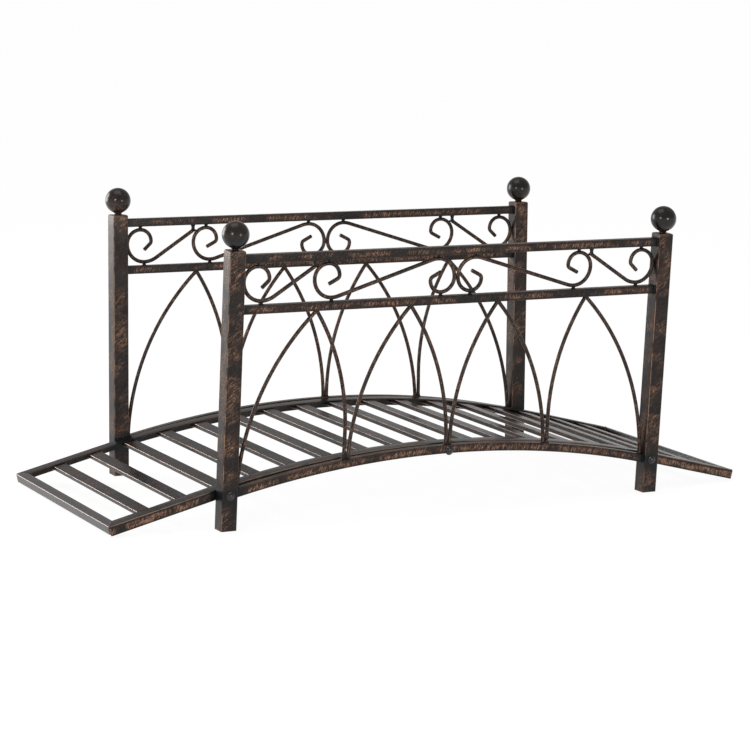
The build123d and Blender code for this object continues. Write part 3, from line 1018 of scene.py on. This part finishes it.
    def arch(self, inner_foot: float, outer_foot: float, apex_x: float, upright: float,
             leg_radius: float) -> list[Skin]:
        """Pointed arch: one leg upright and then bent over, the other bowed all the way.

        Args:
            inner_foot: X of the foot nearer mid span.
            outer_foot: X of the other foot.
            apex_x: X of the apex.
            upright: Straight length of the inner leg above the lower rail.
            leg_radius: Radius of the outer leg.
        Returns:
            The two legs and the weld that joins them.
        """
        apex = np.array([apex_x, self.mid_bottom])
        spring = float(self.lower_height(inner_foot)) + self.rail / 2 + upright
        across, up = apex[0] - inner_foot, apex[1] - spring
        radius = (across ** 2 + up ** 2) / (2 * across)
        line = RodLine(inner_foot, spring - upright - 1.0, 90, step=6.0).ahead(upright + 1.0)
        line.bend(radius, np.degrees(2 * atan2(across, up)))
        foot = np.array([outer_foot, float(self.lower_height(outer_foot))])
        chord = apex - foot
        half = np.linalg.norm(chord) / 2
        half_turn = np.degrees(asin(half / leg_radius))
        bowed = RodLine(*foot, np.degrees(atan2(chord[1], chord[0])) - half_turn, step=6.0)
        bowed.bend(leg_radius, -2 * half_turn)
        collars = [self.weld_collar(x, float(self.lower_height(x)) + self.rail / 2)
                   for x in (inner_foot, outer_foot)]
        apex_weld = lathe(arc_points((0.0, 0.0), self.apex_weld, -88, 88, 14), black=0.9, facets=22)
        apex_weld = Skin(apex_weld.points + (apex_x, 0, self.mid_bottom), apex_weld.marks)
        return [self.rod_skin(line.path(), 0.3), self.rod_skin(bowed.path(), 0.3), *collars, apex_weld]

    def build(self, finishes: dict[str, bpy.types.Material]) -> None:
        """Build and dress both railings.

        Args:
            finishes: Material of each kind of bar.
        """
        front = {
            "top_rail": self.straight_rail(self.top_bottom),
            "mid_rail": self.straight_rail(self.mid_bottom),
            "lower_rail": self.lower_rail()}
        ends = np.array([-self.inner_face, self.inner_face])
        end_low = float(self.lower_height(self.inner_face))
        half_cut = self.rail / 2 * sqrt(1 + self.lower_slope ** 2)
        heights = {"top_rail": (self.top_bottom, self.top_bottom + self.rail),
                   "mid_rail": (self.mid_bottom, self.mid_top),
                   "lower_rail": (end_low - half_cut, end_low + half_cut)}
        for side in Side:
            for kind, skin in front.items():
                node = f"{kind}_{side.word}"
                skin = skin.blackened(ends, 16.0, axis=0)
                finish = finishes["low_rail" if kind == "lower_rail" else "rail"]
                join(f"{node}_tube", [self.leaned(skin, side)], finish, node)
                beads = [self.leaned(self.weld_frame(x, *heights[kind]), side) for x in ends]
                join(f"weld_{node}", beads, finishes["rail"])
            for hand in Hand:
                bolt = self.bolt(hand.value * self.post_x, self.post_bolt, self.post_size / 2,
                                 self.post_head, self.post_washer)
                join(f"post_bolt_{hand.word}_{side.word}",
                     [self.leaned(part, side) for part in bolt], finishes["bolt"])
            bolt = [*self.bolt(0.0, self.middle_bolt, self.rail / 2, self.middle_head, self.middle_washer),
                    self.spacer()]
            join(f"middle_bolt_{side.word}", [self.leaned(part, side) for part in bolt],
                 finishes["bolt"])
        inner = self.arch(self.half_gap, self.quarter_foot - self.half_gap, self.inner_apex, 0.0,
                          self.inner_leg)
        outer = self.arch(self.quarter_foot + self.half_gap, self.inner_face - self.half_gap,
                          self.outer_apex, self.outer_upright, self.outer_leg)
        sets = {
            "post": ([self.post().blackened(np.array([self.post_bolt]), 22.0, axis=2)], "post", COPPER_SLOT,
                     Hand.RIGHT),
            "finial": ([self.finial()], "ball", BLACK_SLOT, Hand.RIGHT),
            "arches": (inner + outer, "rod", COPPER_SLOT, Hand.RIGHT),
            "long_scroll": (self.long_scroll(), "rod", COPPER_SLOT, Hand.LEFT),
            "end_scroll": (self.end_scroll(), "rod", COPPER_SLOT, Hand.LEFT)}
        for kind, (skins, finish, slot, drawn) in sets.items():
            for hand in Hand:
                for side in Side:
                    node = f"{kind}_{hand.word}_{side.word}"
                    turned = [self.leaned(skin, side, hand is not drawn) for skin in skins]
                    join(f"{node}_steel", turned, finishes[finish], node)


@dataclass
class Studio:
    """Pale floor, white surroundings, soft lamps and the camera at the photograph's angle."""

    target: tuple[float, float, float] = (-17.5, 0.0, 176.3)
    azimuth: float = radians(-28.0955)
    elevation: float = radians(10.1202)
    roll: float = radians(1.5864)
    distance: float = 4241.3
    focal_pixels: float = 2661.48
    photo_pixels: int = 750
    sensor: float = 36.0
    ambient: float = 0.55
    mirrored_sky: float = 0.46
    floor_reach: float = 30.0
    floor_lit: tuple[float, float] = (0.13, 0.15)
    floor_glow: float = 0.91
    floor_colour: str = "#e9e9e8"

    def camera(self) -> None:
        """Stand the camera on its line of sight, rolled as the photograph is."""
        back = Vector((sin(self.azimuth) * cos(self.elevation), -cos(self.azimuth) * cos(self.elevation),
                       sin(self.elevation)))
        level = Vector((cos(self.azimuth), sin(self.azimuth), 0.0))
        up = back.cross(level)
        right = cos(self.roll) * level + sin(self.roll) * up
        up = cos(self.roll) * up - sin(self.roll) * level
        data = bpy.data.cameras.new("camera")
        data.sensor_width = self.sensor
        data.lens = self.focal_pixels / self.photo_pixels * self.sensor
        data.clip_start, data.clip_end = 0.1, 60.0
        camera = bpy.data.objects.new("camera", data)
        camera.matrix_world = Matrix((right, up, back)).transposed().to_4x4()
        camera.location = (Vector(self.target) + back * self.distance) * MM
        bpy.context.scene.collection.objects.link(camera)
        bpy.context.scene.camera = camera

    def floor(self) -> None:
        """Pale floor that keeps a faint shadow and is as white as the surroundings elsewhere."""
        mesh = bpy.data.meshes.new("floor")
        reach = self.floor_reach
        corners = [(x * reach, y * reach, 0) for x, y in ((-1, -1), (1, -1), (1, 1), (-1, 1))]
        mesh.from_pydata(corners, [], [(0, 1, 2, 3)])
        material = bpy.data.materials.new("pale_studio_floor")
        material.use_nodes = True
        tree = material.node_tree
        tree.nodes.clear()
        place = add_node(tree, "TexCoord", out="Object")
        tone = pattern(tree, place, 30.0, 0.2, 0.8)
        tone = add_node(tree, "MapRange", {
            "Value": tone, "To Min": self.floor_lit[0], "To Max": self.floor_lit[1]})
        lit = add_node(tree, "BsdfDiffuse", {"Color": tone})
        white = add_node(tree, "Emission", {"Color": (1, 1, 1, 1), "Strength": self.floor_glow})
        pale = add_node(tree, "BsdfDiffuse", {"Color": linear(self.floor_colour)})
        camera = add_node(tree, "LightPath", out="Is Camera Ray")
        glossy = add_node(tree, "LightPath", out="Is Glossy Ray")
        seen = add_node(tree, "Math", {0: camera, 1: glossy}, operation="MAXIMUM")
        both = add_node(tree, "AddShader", {0: lit, 1: white})
        shown = add_node(tree, "MixShader", {0: seen, 1: pale, 2: both})
        add_node(tree, "OutputMaterial", {"Surface": shown})
        mesh.materials.append(material)
        floor = bpy.data.objects.new("floor", mesh)
        bpy.context.scene.collection.objects.link(floor)

    def surroundings(self) -> None:
        """White to the camera, white up to just over the horizon to gloss, and a soft grey as light."""
        world = bpy.data.worlds.new("white_room")
        world.use_nodes = True
        tree = world.node_tree
        tree.nodes.clear()
        direction = add_node(tree, "TexCoord", out="Generated")
        rise = add_node(tree, "SeparateXYZ", {0: direction}, out="Z")
        mirrored = add_node(tree, "MapRange", {
            "Value": rise, "From Min": 0.04, "From Max": 0.20, "To Min": 1.0,
            "To Max": self.mirrored_sky})
        glossy = add_node(tree, "LightPath", out="Is Glossy Ray")
        camera = add_node(tree, "LightPath", out="Is Camera Ray")
        through = add_node(tree, "LightPath", out="Is Transmission Ray")
        seen = add_node(tree, "Math", {0: camera, 1: through}, operation="MAXIMUM")
        strength = add_node(tree, "Mix", {"Factor": glossy, "A": self.ambient, "B": mirrored})
        strength = add_node(tree, "Mix", {"Factor": seen, "A": strength, "B": 1.0})
        light = add_node(tree, "Background", {"Color": (1, 1, 1, 1), "Strength": strength})
        add_node(tree, "OutputWorld", {"Surface": light})
        bpy.context.scene.world = world

    def lamp(self, name: str, place: tuple[float, float, float], size: float, watts: float) -> None:
        """Square soft box that faces the bridge.

        Args:
            name: Name of the lamp.
            place: Where it stands, in metres.
            size: Length of its sides, in metres.
            watts: Its power.
        """
        data = bpy.data.lights.new(name, "AREA")
        data.energy, data.size = watts, size
        lamp = bpy.data.objects.new(name, data)
        lamp.location = place
        aim = Vector(self.target) * MM - Vector(place)
        lamp.rotation_euler = aim.to_track_quat("-Z", "Y").to_euler()
        bpy.context.scene.collection.objects.link(lamp)

    def build(self) -> None:
        """Set up the whole studio."""
        self.camera()
        self.floor()
        self.surroundings()
        self.lamp("left_soft_box", (-1.30, 1.60, 0.70), 1.1, 24.0)
        self.lamp("top_soft_box", (-0.6, 0.2, 3.2), 2.0, 18.0)
        self.lamp("front_left_lamp", (-3.1, -2.2, 1.3), 0.3, 26.0)
        self.lamp("front_right_lamp", (0.7, -3.6, 0.75), 0.3, 20.0)
        bpy.context.scene.view_settings.view_transform = "Standard"


def finishes() -> dict[str, bpy.types.Material]:
    """Make every finish of the bridge.

    Returns:
        Materials by the kind of bar that they dress.
    """
    coats = {
        # Square rails: steep hatching in long patches, black towards the edges.
        "rail": BrushedCopperCoat("copper_brushed_rail", Stroke.STEEP, coverage=1.15, low=0.39,
                                  middle_pull=0.75, rim=0.3, blotch_share=0.9, streak_mm=8.0,
                                  bristle_mm=1.5),
        # Lower rails: the same copper, in denser and cloudier blotches.
        "low_rail": BrushedCopperCoat("copper_brushed_low_rail", Stroke.STEEP, coverage=1.35, low=0.36,
                                      middle_pull=0.65, rim=0.3, blotch_share=1.1),
        # Posts: slanting hatching and blotches, and a bright line down each corner.
        "post": BrushedCopperCoat("copper_brushed_post", Stroke.SLANTING, coverage=0.85, low=0.42,
                                  blotch_share=0.8, middle_pull=0.3, rim_break=0.7),
        # Rods: an even brown wash with darker breaks.
        "rod": BrushedCopperCoat("copper_brushed_rod", Stroke.STEEP, coverage=0.7, low=0.36, rim=0.0,
                                 dust=0.42),
        # Side rails: blotched copper on the outer face, a thin pale line on the bend that is copper wear
        # with a painted highlight, and a dark flange.
        "along": BrushedCopperCoat("copper_brushed_side", Stroke.STEEP, coverage=2.1, low=0.33,
                                   middle_pull=0.95, blotch_share=1.1, rim_break=0.2,
                                   rim_colour="#c0a08b", copper_mid="#86634f"),
        # End rails: thin copper on a greyer ground, and a pale unbroken line on the edges that is a painted
        # highlight.
        "across": BrushedCopperCoat("copper_brushed_end", Stroke.ACROSS_DECK, coverage=0.35, rim_break=0.0,
                                    rim=0.8, rim_colour="#b9a59b", specular=0.8, ground_dark="#1d1d1f"),
        # Slats: smooth and nearly bare, with a pale unbroken line painted on the tube's corners as a
        # highlight.
        "slat": BrushedCopperCoat("copper_brushed_slat", Stroke.ACROSS_DECK, coverage=0.3, rim=1.0,
                                  rim_break=0.0, rim_colour="#c9b4aa", dust=0.1, roughness=0.24),
        # Bolts: bare satin black with a trace of copper on the rim.
        "bolt": BrushedCopperCoat("satin_black_bolt", Stroke.SLANTING, coverage=0.4, roughness=0.22,
                                  specular=0.5),
        # Balls: glossier black with faint streaks, so that they carry small clear highlights.
        "ball": BrushedCopperCoat("satin_black_ball", Stroke.SLANTING, coverage=0.5, low=0.48, dust=0.06,
                                  roughness=0.15, specular=0.34)}
    return {kind: coat.build() for kind, coat in coats.items()}


def main() -> None:
    """Build the bridge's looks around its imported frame, in order."""
    logging.basicConfig(level=logging.INFO, format="%(name)s: %(message)s")
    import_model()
    Studio().build()
    materials = finishes()
    deck = Deck()
    railing = Railing(deck)
    deck.build(materials["along"], materials["across"], materials["slat"], railing.post_x)
    railing.build(materials)


if __name__ == "__main__":
    main()
